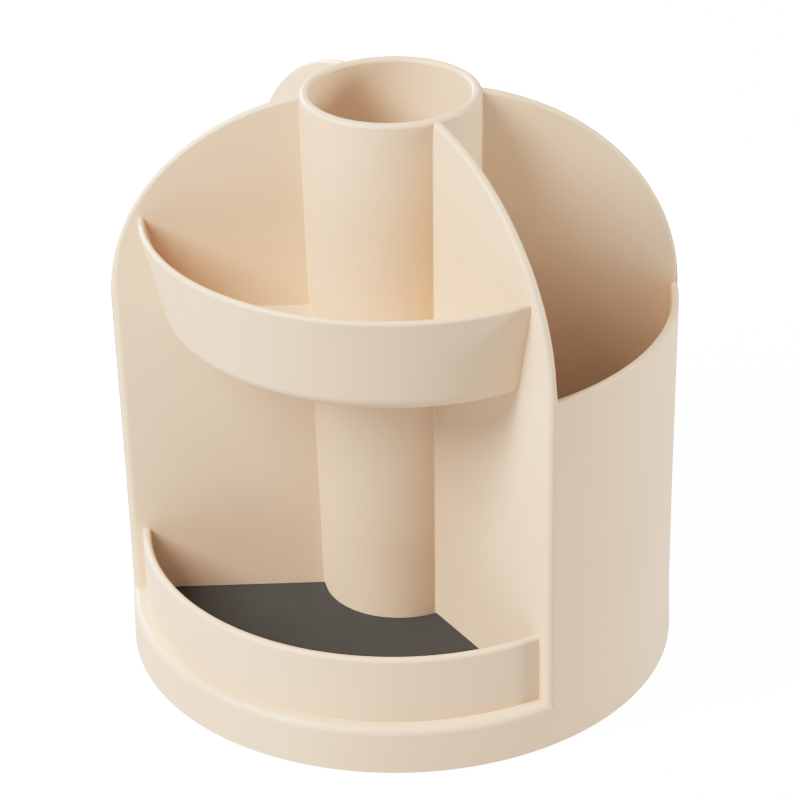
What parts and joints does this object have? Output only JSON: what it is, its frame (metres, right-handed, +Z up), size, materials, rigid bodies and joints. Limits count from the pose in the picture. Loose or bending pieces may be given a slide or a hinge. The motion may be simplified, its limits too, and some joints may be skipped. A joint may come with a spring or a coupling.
{
  "type": "rotary desk organizer",
  "caption": "Round rotary desk organizer: arched dividers part open two-tier trays and deep pen cups around a centre tube, on a ball-bearing turntable base.",
  "frame": {"origin": "on the table surface, on the swivel axis, under the middle of the organizer", "axes": "+Z up along the swivel axis; -Y out of the front two-tier bay; +X through the right pen cup"},
  "size_m": [0.1408, 0.1408, 0.1506],
  "materials": {
    "shell_plastic": "fine satin-matte moulded surface, warm beige",
    "mat_foam": "matte dark grey foam sheet",
    "base_plastic": "matte moulded beige",
    "cage_plastic": "natural moulded nylon",
    "steel": "polished bearing and fastener steel",
    "foot_rubber": "matte anti-slip rubber"
  },
  "bodies": {
    "base": {"base_plate": "base_plastic", "pivot_washer": "steel", "pivot_screw": "steel", "foot_pad_1": "foot_rubber", "foot_pad_2": "foot_rubber", "foot_pad_3": "foot_rubber", "foot_pad_4": "foot_rubber"},
    "carousel": {"drum": "shell_plastic", "floor_deck": "shell_plastic", "center_tube": "shell_plastic", "divider_front_left": "shell_plastic", "divider_front_right": "shell_plastic", "divider_back_left": "shell_plastic", "divider_back_right": "shell_plastic", "front_lower_lip": "shell_plastic", "back_lower_lip": "shell_plastic", "front_upper_tray": "shell_plastic", "back_upper_tray": "shell_plastic", "front_mat": "mat_foam", "back_mat": "mat_foam"},
    "ball_ring": {"ball_cage": "cage_plastic", "ball_1": "steel", "ball_2": "steel", "ball_3": "steel", "ball_4": "steel", "ball_5": "steel", "ball_6": "steel", "ball_7": "steel", "ball_8": "steel"}
  },
  "joints": [
    {"name": "swivel", "type": "hinge", "parent": "base", "child": "carousel", "pos_m": [0, 0, 0.008], "axis": [0, 0, 1], "continuous": true},
    {"name": "ball_ring_orbit", "type": "hinge", "parent": "base", "child": "ball_ring", "pos_m": [0, 0, 0.0057], "axis": [0, 0, 1], "continuous": true}
  ],
  "couplings": [
    {"joint": "ball_ring_orbit", "follows": "swivel", "ratio": 0.5}
  ]
}
